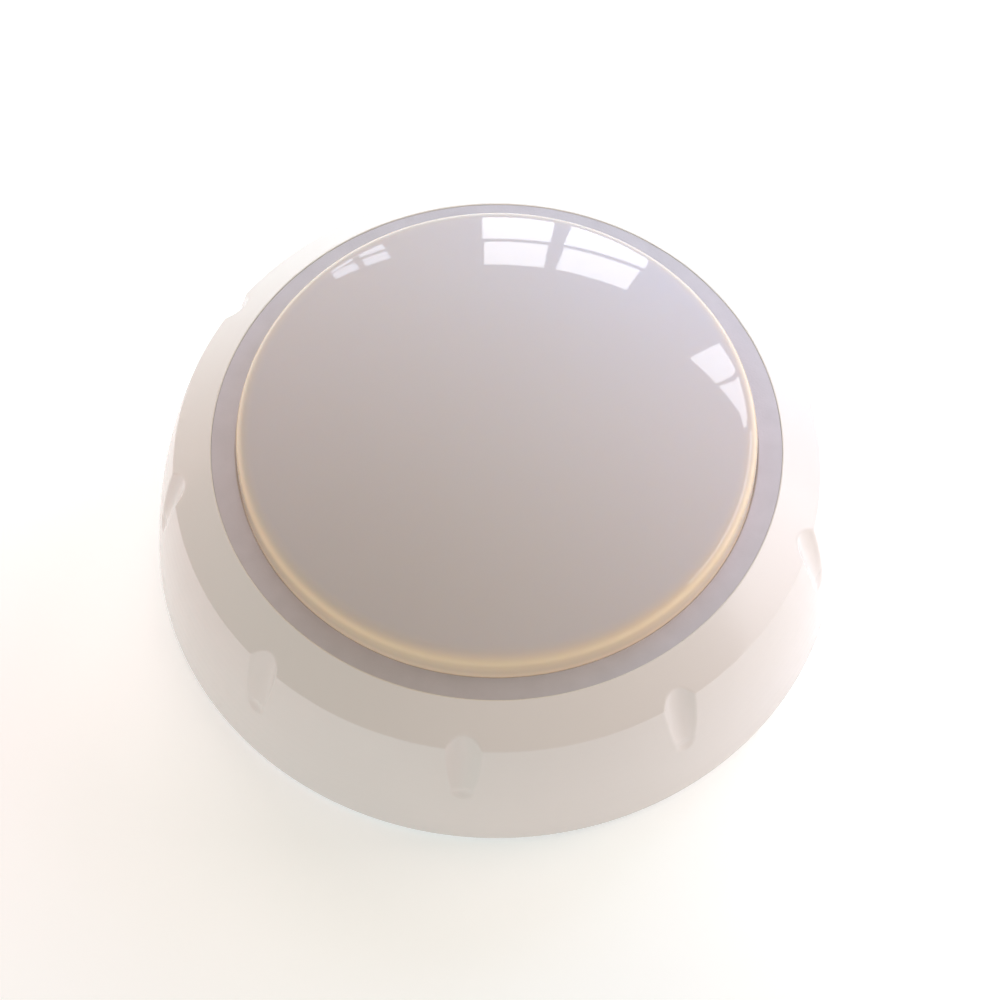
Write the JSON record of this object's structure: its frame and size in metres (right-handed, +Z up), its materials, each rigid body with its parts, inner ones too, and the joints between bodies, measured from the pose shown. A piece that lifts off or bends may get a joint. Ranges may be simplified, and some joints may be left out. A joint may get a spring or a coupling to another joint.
{
  "type": "quiz buzzer",
  "caption": "Round tabletop quiz buzzer: a sprung press dome in a scalloped case with loudspeaker, lamps, push switch and battery bay.",
  "frame": {"origin": "on the table plane under the middle of the round case, level with the undersides of the rubber feet", "axes": "+Z up along the dome's press axis, front (loudspeaker side) towards -Y, +X to the right"},
  "size_m": [0.09, 0.09, 0.038],
  "materials": {
    "case_plastic": "glossy cream-white ABS",
    "trim_ring": "fine-textured grey-lilac plastic",
    "base_plastic": "lightly spark-textured cream-white ABS",
    "dome_plastic": "glossy milky plastic",
    "carrier_plastic": "plain white plastic",
    "rubber": "soft grey rubber",
    "screw_steel": "zinc-plated steel",
    "spring_steel": "bright spring steel",
    "contact_metal": "nickel-plated strip",
    "pressed_steel": "pressed zinc-plated steel",
    "magnet": "bare ferrite",
    "cell_jacket": "printed film jacket",
    "board": "green lacquered board",
    "black_plastic": "black moulded plastic",
    "capacitor_can": "shrink-sleeved aluminium can",
    "lamp": "clear epoxy lens",
    "lead_insulation": "PVC insulation",
    "speaker_paper": "black paper",
    "foam": "closed-cell foam"
  },
  "bodies": {
    "case": {"housing": "case_plastic", "trim_ring": "trim_ring", "base_plate": "base_plastic", "rubber_feet": "rubber", "case_screws": "screw_steel", "battery_front": "cell_jacket", "battery_rear": "cell_jacket", "battery_contacts": "contact_metal", "battery_springs": "spring_steel", "battery_leads": "lead_insulation", "circuit_board": "board", "board_screws": "screw_steel", "sound_chip": "black_plastic", "capacitor": "capacitor_can", "resistors": "black_plastic", "leds": "lamp", "switch_body": "black_plastic", "power_switch_body": "black_plastic", "power_leads": "lead_insulation", "speaker_basket": "pressed_steel", "speaker_magnet": "magnet", "speaker_cone": "speaker_paper", "speaker_gasket": "foam", "speaker_screws": "screw_steel", "speaker_leads": "lead_insulation", "return_spring_1": "spring_steel", "return_spring_2": "spring_steel", "return_spring_3": "spring_steel"},
    "dome": {"dome_cap": "dome_plastic", "button_carrier": "carrier_plastic", "dome_screws": "screw_steel"},
    "plunger": {"switch_plunger": "black_plastic"},
    "door": {"battery_door": "base_plastic", "battery_door_screw": "screw_steel"},
    "power_knob": {"power_switch_knob": "black_plastic"}
  },
  "joints": [
    {"name": "dome_press", "type": "slide", "parent": "case", "child": "dome", "axis": [0, 0, -1], "range_m": [0, 0.0025], "stiffness_N_per_m": 800, "springref_m": -0.0025, "deforming": ["return_spring_1", "return_spring_2", "return_spring_3"]},
    {"name": "switch_press", "type": "slide", "parent": "case", "child": "plunger", "axis": [0, 0, -1], "range_m": [0, 0.00025]},
    {"name": "battery_door_swing", "type": "hinge", "parent": "case", "child": "door", "pos_m": [-0.02435, 0.0155, 0.002], "axis": [0, 1, 0], "range_deg": [0, 85]},
    {"name": "power_switch_slide", "type": "slide", "parent": "case", "child": "power_knob", "axis": [0, 1, 0], "range_m": [0, 0.002]}
  ],
  "couplings": [
    {"joint": "switch_press", "follows": "dome_press", "ratio": 0.1}
  ]
}
